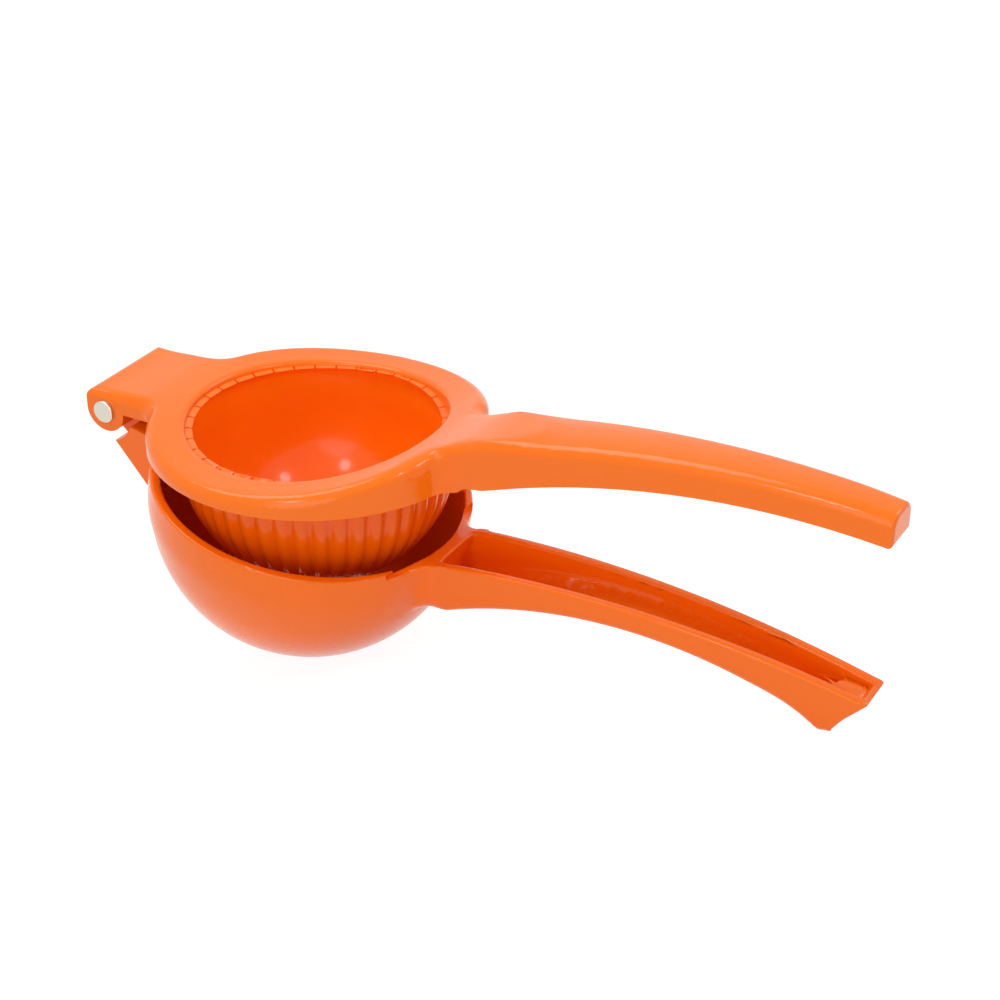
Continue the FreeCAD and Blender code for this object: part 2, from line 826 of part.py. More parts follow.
def press_lever():
    arm = arm_body()
    body = new_body("press_lever")
    sketch = new_sketch(body, "flange_plan", "XY_Plane", lift=dims.flange_rise)
    flange_outline(sketch)
    add_feature(body, "Pad", "flange", sketch, True, Length=dims.arm_height)
    crown_cut(body, "crown_cut")

    neck = (dims.arm_half_width - dims.root_inset).value
    buried_x = (dims.flange_offset + dims.arm_start).value - 4.0

    def on_top_edge(edge):
        # the outer edge of the top, apart from what lies inside the handle
        middle = edge.valueAt((edge.FirstParameter + edge.LastParameter) / 2)
        box = edge.BoundBox
        upright = box.XLength < 0.01 and box.YLength < 0.01
        crease = box.XLength < 0.01 and box.XMin > 0
        buried = middle.x > buried_x and abs(middle.y) < neck + 0.05
        above = box.ZMin > dims.flange_rise.value + 1.0
        return above and not upright and not crease and not buried

    fillet_where(body, "soft_edge", dims.edge_round, on_top_edge)
    mouth(body)
    ears(body)
    fuse_with(body, "handle", arm)
    press_cup(body)
    bowl(body)
    arm_hollow(body)
    tongue_slot(body)
    sketch = new_sketch(body, "ear_bore_outline", "XZ_Plane")
    draw_circle(sketch, 0, 0, dims.pin_radius)
    cut_across(body, "ear_bore", sketch, 2.0 * dims.hinge_width)
    return body


# The rivet

def hinge_pin():
    body = new_body("hinge_pin")
    half = dims.hinge_width / 2
    shaft = dims.pin_radius
    head = dims.head_radius
    tip = half + dims.head_height
    soft = dims.head_round
    bend = 0.2929 * soft
    sketch = new_sketch(body, "pin_profile", "XY_Plane")
    draw_outline(sketch, [
        (as_size(0), -tip),
        (head - soft, -tip, soft, (head - bend, bend - tip)),
        (head, soft - tip),
        (head, -half),
        (shaft, -half),
        (shaft, half),
        (head, half),
        (head, tip - soft, soft, (head - bend, tip - bend)),
        (head - soft, tip),
        (as_size(0), tip),
    ])
    turn(body, "Revolution", "pin", sketch)
    return body


def check_document():
    for item in doc.Objects:
        if "Invalid" in item.State or "Error" in item.State:
            raise RuntimeError("%s: %s" % (item.Name, item.State))


def resting_tilt():
    # the line from the cup's round bottom to the heel, which is the table
    run = dims.heel_reach.value
    drop = dims.heel_height.value + dims.cup_lip.value
    slope = math.atan2(drop, run)
    dip = math.asin(dims.cup_radius.value / math.hypot(run, drop))
    return math.degrees(slope + dip)


def place(bodies):
    tilt = resting_tilt()
    strainer, press, pin = bodies
    strainer.Placement = Placement(Vector(0, 0, 0), Rotation(Vector(0, 1, 0), tilt))
    opened = Rotation(Vector(0, 1, 0), tilt - dims.open_angle.value)
    press.Placement = Placement(Vector(0, 0, 0), opened)
    pin.Placement = Placement(Vector(0, 0, 0), opened)
    doc.recompute()
    box = FreeCAD.BoundBox()
    for body in bodies:
        box.add(body.Shape.optimalBoundingBox(True, False))
    shift = Vector(-(box.XMin + box.XMax) / 2, 0, -box.ZMin)
    for body in bodies:
        body.Placement = Placement(shift, body.Placement.Rotation)
    doc.recompute()
    print("tilt %.3f, hinge at %.4f 0 %.4f" % (tilt, shift.x, shift.z))


def main():
    bodies = [strainer_lever(), press_lever(), hinge_pin()]
    place(bodies)
    check_document()
    os.makedirs("parts", exist_ok=True)
    for body in bodies:
        shape = body.Shape
        if shape.isNull() or not shape.isValid():
            raise RuntimeError("%s is not a valid solid" % body.Label)
    for body in bodies:
        body.Shape.exportStep("parts/%s.step" % body.Label)
        print(body.Label, len(body.Shape.Solids), "solid", round(body.Shape.Volume, 1))


main()
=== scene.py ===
import math

import bpy
import numpy as np
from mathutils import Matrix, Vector


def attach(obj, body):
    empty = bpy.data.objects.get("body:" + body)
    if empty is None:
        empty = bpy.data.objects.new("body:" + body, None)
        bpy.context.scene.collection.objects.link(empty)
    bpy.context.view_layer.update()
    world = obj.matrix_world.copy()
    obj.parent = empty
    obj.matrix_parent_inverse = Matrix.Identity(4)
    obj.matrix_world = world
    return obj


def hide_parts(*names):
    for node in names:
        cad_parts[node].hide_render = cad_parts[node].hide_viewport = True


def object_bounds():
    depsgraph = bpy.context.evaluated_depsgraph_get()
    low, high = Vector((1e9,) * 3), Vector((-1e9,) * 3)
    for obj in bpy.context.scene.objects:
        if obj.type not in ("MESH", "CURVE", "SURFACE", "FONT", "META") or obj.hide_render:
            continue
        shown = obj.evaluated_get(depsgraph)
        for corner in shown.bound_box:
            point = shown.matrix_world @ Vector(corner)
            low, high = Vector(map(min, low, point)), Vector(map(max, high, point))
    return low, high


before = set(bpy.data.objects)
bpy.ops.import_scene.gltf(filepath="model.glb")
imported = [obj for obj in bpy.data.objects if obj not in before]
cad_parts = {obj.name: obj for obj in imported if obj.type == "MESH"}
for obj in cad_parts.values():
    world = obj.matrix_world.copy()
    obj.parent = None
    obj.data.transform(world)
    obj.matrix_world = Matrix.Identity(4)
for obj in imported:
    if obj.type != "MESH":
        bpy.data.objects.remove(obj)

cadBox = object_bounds()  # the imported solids, before anything is dressed
print("frame loaded:", sorted(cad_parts))


def deselectAll():
    bpy.ops.object.select_all(action="DESELECT")


# camera, fitted to both levers in the photograph
view = {
    "place": (0.30565, -0.45239, 0.30805),
    "turn": (64.6165, 7.7080, 29.9636),  # degrees
    "lens": 78.913,  # on a 36 mm sensor
}


def addCamera():
    turn = [math.radians(value) for value in view["turn"]]
    bpy.ops.object.camera_add(location=view["place"], rotation=turn)
    camera = bpy.context.object
    camera.name = "photoCamera"
    camera.data.sensor_width = 36.0
    camera.data.lens = view["lens"]
    camera.data.clip_start = 0.01
    bpy.context.scene.camera = camera


addCamera()
print("camera placed")


# both levers are soft castings: a merged copy of each solid is trimmed, rounded and smoothed
hinge = (-0.1155283, 0.0756934)  # axis of the rivet, metres
casting = {
    "mergeWithin": 1e-6,  # metres
    "sharpAngle": 38,  # degrees, edges that get rounded
    "smoothAngle": 35,
}


def startCasting(source, name):
    deselectAll()
    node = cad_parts[source]
    piece = bpy.data.objects.new(name, node.data.copy())
    bpy.context.collection.objects.link(piece)
    piece.select_set(True)
    bpy.context.view_layer.objects.active = piece
    bpy.ops.mesh.customdata_custom_splitnormals_clear()
    bpy.ops.object.mode_set(mode="EDIT")
    bpy.ops.mesh.select_all(action="SELECT")
    bpy.ops.mesh.remove_doubles(threshold=casting["mergeWithin"])
    bpy.ops.mesh.tris_convert_to_quads()
    bpy.ops.object.mode_set(mode="OBJECT")
    return piece


def getPoints(piece, lever):
    # corners of the mesh in millimetres along the lever, from its cup's axis and rim
    flat = np.empty(len(piece.data.vertices) * 3)
    piece.data.vertices.foreach_get("co", flat)
    spots = flat.reshape(-1, 3) * 1000
    turn = math.radians(lever["tilt"])
    across = spots[:, 0] - hinge[0] * 1000
    up = spots[:, 2] - hinge[1] * 1000
    x = across * math.cos(turn) - up * math.sin(turn) - lever["base"][0]
    z = across * math.sin(turn) + up * math.cos(turn) - lever["base"][1]
    return x, spots[:, 1], z


def setPoints(piece, lever, x, y, z):
    turn = math.radians(lever["tilt"])
    x = x + lever["base"][0]
    z = z + lever["base"][1]
    across = x * math.cos(turn) + z * math.sin(turn) + hinge[0] * 1000
    up = z * math.cos(turn) - x * math.sin(turn) + hinge[1] * 1000
    spots = np.stack([across, y, up], axis=1) / 1000
    piece.data.vertices.foreach_set("co", spots.ravel())
    piece.data.update()


def pick(piece, chosen, kind="VERT"):
    # selects in code the corners or edges that the next operator works on
    mesh = piece.data
    mesh.polygons.foreach_set("select", np.zeros(len(mesh.polygons), bool))
    mesh.edges.foreach_set("select", np.zeros(len(mesh.edges), bool))
    mesh.vertices.foreach_set("select", np.zeros(len(mesh.vertices), bool))
    corners = kind == "VERT"
    bpy.context.tool_settings.mesh_select_mode = (corners, not corners, False)
    target = mesh.vertices if corners else mesh.edges
    target.foreach_set("select", chosen)
    bpy.ops.object.mode_set(mode="EDIT")


def edgeEnds(piece):
    ends = np.empty(len(piece.data.edges) * 2, np.int32)
    piece.data.edges.foreach_get("vertices", ends)
    return ends.reshape(-1, 2)


def densify(piece, lever, inside, length, rounds):
    # halves the long edges of one region until they are short enough
    for _ in range(rounds):
        spots = np.stack(getPoints(piece, lever), axis=1)
        ends = edgeEnds(piece)
        first, last = spots[ends[:, 0]], spots[ends[:, 1]]
        middle = (first + last) / 2
        size = np.linalg.norm(first - last, axis=1)
        chosen = (size > length) & inside(*middle.T)
        if not chosen.any():
            return
        pick(piece, chosen, "EDGE")
        bpy.ops.mesh.subdivide(number_cuts=1)
        bpy.ops.mesh.select_all(action="SELECT")
        bpy.ops.mesh.quads_convert_to_tris()
        bpy.ops.object.mode_set(mode="OBJECT")


def soften(piece, lever, share, repeats):
    # rubs a region smooth, as a casting is where its parts meet
    # the share fades to nothing at the border of the region
    before = np.stack(getPoints(piece, lever), axis=1)
    weight = share(*before.T)
    pick(piece, weight > 0)
    bpy.ops.mesh.vertices_smooth(factor=0.5, repeat=repeats)
    bpy.ops.object.mode_set(mode="OBJECT")
    after = np.stack(getPoints(piece, lever), axis=1)
    mixed = before + (after - before) * weight[:, None]
    setPoints(piece, lever, *mixed.T)


def roundEdges(piece, lever, inside, width, segments):
    # bevels the sharp edges of one region
    pick(piece, np.zeros(len(piece.data.vertices), bool))
    bpy.context.tool_settings.mesh_select_mode = (False, True, False)
    bpy.ops.mesh.edges_select_sharp(sharpness=math.radians(casting["sharpAngle"]))
    bpy.ops.object.mode_set(mode="OBJECT")
    sharp = np.empty(len(piece.data.edges), bool)
    piece.data.edges.foreach_get("select", sharp)
    spots = np.stack(getPoints(piece, lever), axis=1)
    ends = edgeEnds(piece)
    first, last = spots[ends[:, 0]], spots[ends[:, 1]]
    pick(piece, sharp & inside(*first.T) & inside(*last.T), "EDGE")
    bpy.ops.mesh.bevel(offset=width / 1000, segments=segments, affect="EDGES",
                       clamp_overlap=False)
    bpy.ops.object.mode_set(mode="OBJECT")


def keepInBox(piece):
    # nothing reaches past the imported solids
    flat = np.empty(len(piece.data.vertices) * 3)
    piece.data.vertices.foreach_get("co", flat)
    low, high = (np.array(corner) for corner in cadBox)
    piece.data.vertices.foreach_set("co", np.clip(flat.reshape(-1, 3), low, high).ravel())
    piece.data.update()


def finishCasting(piece, source, body):
    keepInBox(piece)
    deselectAll()
    piece.select_set(True)
    bpy.context.view_layer.objects.active = piece
    bpy.ops.object.shade_smooth_by_angle(angle=math.radians(casting["smoothAngle"]))
    modifier = piece.modifiers.new("evenShading", "WEIGHTED_NORMAL")
    modifier.keep_sharp = True
    bpy.ops.object.modifier_apply(modifier="evenShading")
    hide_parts(source)
    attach(piece, body)


def arcHeight(x, crest, height, radius):
    return height - radius + np.sqrt(radius ** 2 - (crest - x) ** 2)


def smoothCurve(x, pairs):
    # curve through the pairs with no kink in it
    spots = np.array(pairs, float)
    slopes = np.gradient(spots[:, 1], spots[:, 0])
    x = np.clip(x, spots[0, 0], spots[-1, 0])
    index = np.clip(np.searchsorted(spots[:, 0], x) - 1, 0, len(spots) - 2)
    step = spots[index + 1, 0] - spots[index, 0]
    t = (x - spots[index, 0]) / step
    rise = t * t * (3 - 2 * t)
    return (spots[index, 1] * (1 - rise) + spots[index + 1, 1] * rise
            + step * (slopes[index] * t * (1 - t) ** 2 - slopes[index + 1] * t * t * (1 - t)))


def ease(value, low, high):
    # 0 at low, 1 at high and smooth between, also where low is the larger
    t = np.clip((value - low) / (high - low), 0, 1)
    return t * t * (3 - 2 * t)


# press lever: millimetres from the axis of its cup and the underside of its ring
press = {
    "tilt": 9.059,  # degrees
    "base": (63.1, 1.1),  # from the pin
    # top of the solid, from the pin: a level stretch, an arc and a straight ramp
    "levelStart": (-8.5, 6.3),
    "levelFall": 0.02304,
    "arcStart": (63.1, 4.65),
    "arcMiddle": 65.634,
    "arcRadius": 110.0,
    "arcTurn": 0.999735,  # cosine of its turn at its start
    "rampStart": (99.1, 9.835),
    "rampSlope": 0.31938,
    # back and underside of the handle: crest, height and radius of an arc
    "back": (141.0, 27.5, 342.0),
    "backStart": 42.0,
    "arch": (146.0, 18.6, 245.0),
    "archStart": 52.0,
    "handleEnd": 175.0,
    # how far the reshaped top and underside of the handle lie above the solid's, along the lever
    "topLift": [(-72, 0.0), (-63, 0.0), (-55, 0.8), (-48, 1.45), (-43, 1.55), (-38, 1.45),
                (-33, 1.2), (-27, 0.9), (-20, 0.7), (-12, 0.7), (-5, 0.95), (0, 1.25),
                (7, 1.6), (15, 1.75), (23, 1.6), (31, 1.3), (37, 1.1), (43, 1.2),
                (49, 1.8), (55, 2.4), (61, 2.35), (67, 1.8), (77, 1.05), (87, 0.95),
                (107, 0.8), (127, 0.68), (147, 0.52), (162, 0.38), (172, 0.05), (178, 0.0)],
    "underLift": [(45, 0.0), (52, 0.9), (67, 0.95), (97, 0.86), (127, 0.65), (157, 0.3), (174, 0.05)],
    "cupRadius": 38.4,
    "cupEquator": -4.5,
    "mouthRadius": 37.3,
    "mouthSoft": 1.4,
    "mouthSink": 0.3,  # of the solid's own edge, under the soft edge
    "wallInset": 0.15,
    "flangeReach": 42.0,  # what is nearer the axis and below the ring belongs to the cup
    "hoodFrom": (-40.0, -47.0),
    "hoodHeights": (2.6, 4.9),
    "meshSize": {"all": 4.0, "mouth": 0.8, "root": 1.0},
    "rootRubs": 30,
}


def pressTop(x):
    # top of the solid: nearly level over the ring, an arc, a straight ramp and the back of the handle
    pinX = x + press["base"][0]
    rise = press["base"][1]
    levelX, levelZ = press["levelStart"]
    arcX, arcZ = press["arcStart"]
    rampX, rampZ = press["rampStart"]
    radius = press["arcRadius"]
    level = levelZ - press["levelFall"] * (pinX - levelX) - rise
    turn = np.sqrt(np.maximum(1e-6, 1 - ((pinX - press["arcMiddle"]) / radius) ** 2))
    arc = arcZ + radius * (press["arcTurn"] - turn) - rise
    ramp = rampZ - rise + press["rampSlope"] * (pinX - rampX)
    back = arcHeight(np.clip(x, press["backStart"] - 2.0, press["handleEnd"]), *press["back"])
    top = np.where(pinX < arcX, level, np.where(pinX < rampX, arc, ramp))
    return np.where(x > press["backStart"], np.minimum(top, back), top)


def pressUnder(x):
    start = press["archStart"]
    arch = arcHeight(np.clip(x, start, press["handleEnd"]), *press["arch"])
    return np.where(x > start, np.maximum(arch, 0.0), 0.0)


def flattenRibs(x, y, z):
    # the fine ribs are a piece of their own: the coarse ones go back into the cup's wall
    rim = press["cupRadius"] - press["wallInset"]
    equator = press["cupEquator"]
    down = np.minimum(z - equator, 0.0)
    size = np.sqrt(x ** 2 + y ** 2 + down ** 2)
    proud = (size > rim) & (z < -0.02) & (np.hypot(x, y) < press["flangeReach"])
    scale = np.where(proud, rim / np.maximum(size, 1e-6), 1.0)
    return x * scale, y * scale, np.where(z < equator, equator + (z - equator) * scale, z)


def cleanMouth(x, y, z):
    # the solid's own mouth edge goes a little under the soft edge that covers it
    sink = press["mouthSink"]
    soft = press["mouthSoft"] + sink
    inner = press["mouthRadius"]
    out = np.hypot(x, y)
    top = pressTop(x)
    near = (out > inner - 0.8) & (out < inner + soft + 1.2) & (z > 1.0)
    pushed = np.where(near, np.maximum(out, inner + sink), out)
    deep = np.clip(inner + soft - pushed, 0.0, soft)
    roof = top - soft + np.sqrt(np.maximum(soft ** 2 - deep ** 2, 0.0)) - sink
    scale = pushed / np.maximum(out, 1e-6)
    return x * scale, y * scale, np.where(near, np.minimum(z, roof), z)


def liftPress(x, y, z):
    top = pressTop(x)
    under = pressUnder(x)
    share = np.clip((z - under) / np.maximum(top - under, 0.5), 0, 1)
    hoodShare = ease(z, *press["hoodHeights"])
    hood = ease(x, *press["hoodFrom"])
    share = share * (1 - hood) + hoodShare * hood
    lift = smoothCurve(x, press["topLift"]) * share
    drop = np.where(z > -0.5, smoothCurve(x, press["underLift"]) * (1 - share), 0.0)
    return x, y, z + lift + np.where(x > 45, drop, 0.0)


def ringRoot(x, y, z):
    # where the handle leaves the ring
    return (x > 36) & (x < 62) & (np.abs(y) < 24) & (z > -0.6)


def ringRootShare(x, y, z):
    # both sides of the root, clear of the mouth and of the middle of the top
    aside = np.abs(y)
    away = ease(np.hypot(x, y), 39.5, 42.0) * ease(x, 38.0, 42.0) * ease(x, 61.0, 54.0)
    return away * ease(aside, 5.0, 8.5) * ease(aside, 23.0, 18.0) * ease(z, 0.2, 1.6)


def aroundMouth(x, y, z):
    out = np.hypot(x, y)
    return (out > 36.0) & (out < 43.5) & (z > -0.5)


def anywhere(x, y, z):
    return np.ones(len(x), bool)


def buildPress():
    piece = startCasting("press_lever", "press_casting")
    size = press["meshSize"]
    densify(piece, press, anywhere, size["all"], 3)
    densify(piece, press, aroundMouth, size["mouth"], 4)
    densify(piece, press, ringRoot, size["root"], 4)
    spots = getPoints(piece, press)
    for reshape in (flattenRibs, cleanMouth, liftPress):
        spots = reshape(*spots)
    setPoints(piece, press, *spots)
    soften(piece, press, ringRootShare, press["rootRubs"])
    finishCasting(piece, "press_lever", "press")
    return piece


# ribs of the press cup, one every eight degrees
ribs = {
    "count": 45,
    "stepsEach": 10,
    "rings": 110,
    "radius": 2.9,
    "height": 1.2,
    "fade": 1.94,  # lost from the height on the way to the pole
    "fadeAngle": 70.0,  # where all of it is lost, degrees below the equator
    "valley": 38.47,
    "valleySoft": 0.12,
    "halfReach": 2.85,  # of a rib's round back
    "buried": 0.8,  # above the underside of the ring
    "cut": 0.16,  # of the unit sphere's height, where it is cut open
    "wall": 0.7,
}


def ribSurface(turn, angle):
    # distance from the cup's centre at a turn round its axis and an angle below its equator
    pitch = 2 * math.pi / ribs["count"]
    aside = (turn / pitch - np.round(turn / pitch)) * pitch * ribs["valley"] * np.cos(angle)
    fade = ribs["fade"] * (1 - np.cos(angle)) / (1 - math.cos(math.radians(ribs["fadeAngle"])))
    crest = ribs["height"] - fade
    aside = np.minimum(np.abs(aside), ribs["halfReach"])
    sink = ribs["radius"] - np.sqrt(np.maximum(ribs["radius"] ** 2 - aside ** 2, 0))
    rib = crest - sink
    return ribs["valley"] + (rib + np.sqrt(rib ** 2 + ribs["valleySoft"] ** 2)) / 2


def buildRibs():
    deselectAll()
    bpy.ops.mesh.primitive_uv_sphere_add(segments=ribs["count"] * ribs["stepsEach"],
                                         ring_count=ribs["rings"], radius=1.0)
    piece = bpy.context.object
    piece.name = "press_flutes"
    bpy.context.tool_settings.mesh_select_mode = (True, False, False)
    bpy.ops.object.mode_set(mode="EDIT")
    bpy.ops.mesh.select_all(action="SELECT")
    bpy.ops.mesh.bisect(plane_co=(0, 0, ribs["cut"]), plane_no=(0, 0, 1), clear_outer=True)
    bpy.ops.object.mode_set(mode="OBJECT")
    flat = np.empty(len(piece.data.vertices) * 3)
    piece.data.vertices.foreach_get("co", flat)
    x, y, z = flat.reshape(-1, 3).T
    turn = np.arctan2(y, x)
    angle = np.maximum(-np.arcsin(np.clip(z, -1, 1)), 0.0)
    size = ribSurface(turn, angle)
    lip = (ribs["buried"] - press["cupEquator"]) / ribs["cut"]
    height = np.where(z > 0, z * lip, -size * np.sin(angle)) + press["cupEquator"]
    out = np.where(z > 0, ribSurface(turn, 0 * angle), size * np.cos(angle))
    setPoints(piece, press, out * np.cos(turn), out * np.sin(turn), height)
    wall = piece.modifiers.new("wall", "SOLIDIFY")
    wall.thickness = ribs["wall"] / 1000
    wall.offset = -1
    bpy.ops.object.modifier_apply(modifier="wall")
    bpy.ops.object.shade_smooth_by_angle(angle=math.radians(60))
    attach(piece, "press")
    return piece


# soft edge of the press cup's mouth, carried on to the ring
mouthEdge = {
    "steps": 240,
    "reach": 2.6,  # over the ring, past the rounding
    "proud": 0.04,
    "roundSteps": 8,
    "sunk": -0.06,  # its outer edge, under the top of the ring
    "wall": 0.5,
}


def mouthProfile():
    # each point: distance from the axis, height, and 1 where that height is from the ring's top
    soft = press["mouthSoft"]
    proud = mouthEdge["proud"]
    reach = mouthEdge["reach"]
    steps = mouthEdge["roundSteps"]
    inner = press["mouthRadius"] - proud
    points = [(inner - 0.45, -0.6, 0.0), (inner - 0.16, 0.6, 0.0)]
    points += [(inner, 1.6, 0.0), (inner, -soft - 0.4, 1.0)]
    for index in range(steps + 1):
        turn = math.radians(90 * index / steps)
        out = inner + soft * (1 - math.cos(turn))
        points.append((out, soft * (math.sin(turn) - 1) + proud, 1.0))
    points.append((inner + soft + reach * 0.6, proud, 1.0))
    points.append((inner + soft + reach, mouthEdge["sunk"], 1.0))
    return points


def buildMouthEdge():
    deselectAll()
    profile = mouthProfile()
    bpy.ops.mesh.primitive_grid_add(x_subdivisions=mouthEdge["steps"],
                                    y_subdivisions=len(profile) - 1, size=2.0)
    piece = bpy.context.object
    piece.name = "press_mouth_edge"
    flat = np.empty(len(piece.data.vertices) * 3)
    piece.data.vertices.foreach_get("co", flat)
    u, v, _ = flat.reshape(-1, 3).T
    turn = -(u + 1) * math.pi
    row = np.rint((v + 1) / 2 * (len(profile) - 1)).astype(int)
    out, height, rise = np.array(profile)[row].T
    x, y = out * np.cos(turn), out * np.sin(turn)
    top = pressTop(x) + smoothCurve(x, press["topLift"])
    setPoints(piece, press, x, y, height + rise * top)
    bpy.ops.object.mode_set(mode="EDIT")
    bpy.ops.mesh.select_all(action="SELECT")
    bpy.ops.mesh.remove_doubles(threshold=casting["mergeWithin"])
    bpy.ops.mesh.normals_make_consistent(inside=False)
    bpy.ops.object.mode_set(mode="OBJECT")
    wall = piece.modifiers.new("wall", "SOLIDIFY")
    wall.thickness = mouthEdge["wall"] / 1000
    wall.offset = -1
    bpy.ops.object.modifier_apply(modifier="wall")
    bpy.ops.object.shade_smooth_by_angle(angle=math.radians(50))
    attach(piece, "press")
    return piece


# strainer lever: millimetres from the axis of its cup and its rim
strainer = {
    "tilt": 19.309,  # degrees
    "base": (62.6, -4.0),  # from the pin
    # arcs of the handle: crest, height and radius
    "topEdge": (158.0, 17.5, 379.0),
    "belly": (127.0, 9.1, 140.0),
    "newBelly": (127.5, 8.4, 140.6),
    "crown": 34.0,
    # half width of the solid and of the reshaped handle at the cup, and its loss along the lever
    "halfWidth": (11.8, 0.0442),
    "newHalfWidth": (12.1, 0.043),
    "handleStart": 46.5,
    "edgeNear": 0.12,  # an edge is looked for this near its place
    "heelStart": (158.0, 6.2),
    "heelDrop": [(140, 0.0), (154.5, 0.0), (157.5, -0.35), (160, -0.81), (162.7, -1.1),
                 (164.6, 0.0), (180, 0.0)],
    "heelFoot": (164.6, 3.4),
    "heelSlope": 0.638,
    "floor": 2.8,
    "thinned": 1.9,  # off the inside of the end wall
    "boss": (161.5, 3.2, 14.9),  # place, radius and top of the solid's post
    "bossFoot": (8.2, 11.0),  # heights between which it grows wide
    "bossSpread": 1.25,
    "bossRise": 1.3,
    "bossShift": -0.5,
    "bossReach": 3.9,  # towards the end wall
    "floorDrop": 1.3,
    "lipSwell": 0.6,
    "edgeRound": 0.95,
    "bossRound": 1.1,
    "meshSize": {"handle": 3.0, "boss": 0.8, "root": 1.2},
    "rootRubs": 50,
    "bossRubs": 14,
}


def strainerTop(x):
    return arcHeight(np.clip(x, 20.0, 180.0), *strainer["topEdge"])


def strainerHalf(x):
    width, taper = strainer["halfWidth"]
    return width - taper * (x - strainer["handleStart"])


def onChannelEdge(x, y, z):
    onTop = np.abs(z - strainerTop(x)) < strainer["edgeNear"]
    return (x > strainer["handleStart"] + 0.3) & onTop


def onHeelEdge(x, y, z):
    startX, startZ = strainer["heelStart"]
    onSide = (x > startX) & (np.abs(y) > strainerHalf(x) - 0.4)
    return onSide & (z > startZ) & (z < strainerTop(x) + strainer["edgeNear"])


def onHandleEdge(x, y, z):
    return onChannelEdge(x, y, z) | onHeelEdge(x, y, z)


def onBossTop(x, y, z):
    place, radius, top = strainer["boss"]
    return (np.abs(np.hypot(x - place, y) - radius) < 0.15) & (np.abs(z - top) < 0.15)


def alongHandle(x, y, z):
    return x > 44


def aroundBoss(x, y, z):
    place, radius, top = strainer["boss"]
    return (np.hypot(x - place, y) < radius + 0.2) & (z > top - 4)


def strainerRoot(x, y, z):
    # where the handle meets the cup
    return (x > 34) & (x < 60) & (np.abs(y) < 24) & (z > -20)


def strainerRootShare(x, y, z):
    # outer skin only: the sides and underside of the root, and the rim beside it
    out = np.sqrt(x ** 2 + y ** 2 + np.minimum(z + 5.0, 0.0) ** 2)
    aside = np.abs(y)
    half = strainerHalf(x)
    skin = ease(out, 44.3, 45.3) * ease(aside, 22.0, 17.0) * ease(z, -19.0, -15.0)
    side = ease(aside, half - 2.6, half - 1.6) * ease(z, 1.0, -1.0)
    under = ease(z, -1.5, -4.0)
    rim = ease(x, 50.0, 46.5) * ease(aside, 5.5, 8.0) * ease(z, -3.0, -1.0)
    return skin * ease(x, 36.0, 39.0) * ease(x, 55.0, 48.0) * np.maximum(np.maximum(side, under), rim)


def shapeBoss(x, y, z):
    # post widened to a mound, which leans towards the end wall and the near wall
    place, radius, top = strainer["boss"]
    foot, wide = strainer["bossFoot"]
    away = np.hypot(x - place, y)
    mine = (away < radius + 0.1) & (z > foot)
    grown = ease(z, foot, wide)
    spread = 1 + (strainer["bossSpread"] - 1) * grown
    dome = 0.07 * away ** 2 * ease(z, top - 1.5, top - 0.1)
    return (np.where(mine, place + (x - place) * spread + strainer["bossReach"] * grown, x),
            np.where(mine, y * spread + strainer["bossShift"] * grown, y),
            np.where(mine, z + strainer["bossRise"] * grown - dome, z))


def bossShare(x, y, z):
    # the top of the mound, where it now stands
    place, radius, top = strainer["boss"]
    away = np.hypot(x - place - strainer["bossReach"], y - strainer["bossShift"])
    reach = radius * strainer["bossSpread"]
    return ease(away, reach + 0.6, reach + 0.1) * ease(z, top - 2.6, top - 1.2) * (z < top + 3)


def thinEnd(x, y, z):
    # the end wall gets thinner from inside the channel
    footX, footZ = strainer["heelFoot"]
    deep = footX + (z - footZ) * strainer["heelSlope"] - x
    within = (np.abs(y) < strainerHalf(x) - 1.7) & (z > 9.0) & (x > 158)
    share = ease(deep, 0.8, 2.9) * (1 - ease(deep, 5.2, 7.5)) * ease(z, 9.0, 12.0)
    return np.where(within, x + strainer["thinned"] * share, x), y, z


def shapeHandle(x, y, z):
    # lower and flatter underside, a slightly wider handle and a deeper channel
    along = ease(x, 43.0, 54.0)
    top = strainerTop(x)
    clipped = np.clip(x, 30.0, 175.0)
    old = arcHeight(clipped, *strainer["belly"])
    new = arcHeight(clipped, *strainer["newBelly"]) + smoothCurve(x, strainer["heelDrop"])
    low = 1 - ease(z, old + 3.5, top)
    crown = strainer["crown"]
    sag = crown - np.sqrt(crown ** 2 - np.clip(y, -13, 13) ** 2)
    sunk = new - old - sag * ease(z, old + 6.5, old + 2.5)
    lowered = z + along * (low * sunk + (1 - low) * 0.2)
    onFloor = (np.abs(y) < strainerHalf(x) - 2.6) & (np.abs(z - old - strainer["floor"]) < 0.5)
    drop = strainer["floorDrop"] * ease(x, 54.0, 66.0) * ease(x, 156.0, 148.0)
    lowered = np.where(onFloor, lowered - drop, lowered)
    width, taper = strainer["newHalfWidth"]
    wide = (width - taper * (x - strainer["handleStart"])) / np.maximum(strainerHalf(x), 1.0)
    return x, y * (1 + (wide - 1) * along), lowered


def swellLip(x, y, z):
    # thicker lip round the cup, fading out at the shoulder and towards the handle
    out = np.hypot(x, y)
    mine = (out > 45.0) & (out < 47.5) & ((x > -38) | (np.abs(y) > 19))
    share = ease(z, -20.0, -8.0) * ease(out, 45.0, 46.3) * ease(x, 40.0, 26.0)
    scale = np.where(mine, 1 + strainer["lipSwell"] * share / np.maximum(out, 1.0), 1.0)
    return x * scale, y * scale, z


def keepOffFloor(x, y, z):
    # nothing of the lever goes below the table
    turn = math.radians(strainer["tilt"])
    reach = x + strainer["base"][0]
    lowest = (reach * math.sin(turn) - hinge[1] * 1000) / math.cos(turn) - strainer["base"][1]
    return x, y, np.maximum(z, lowest)


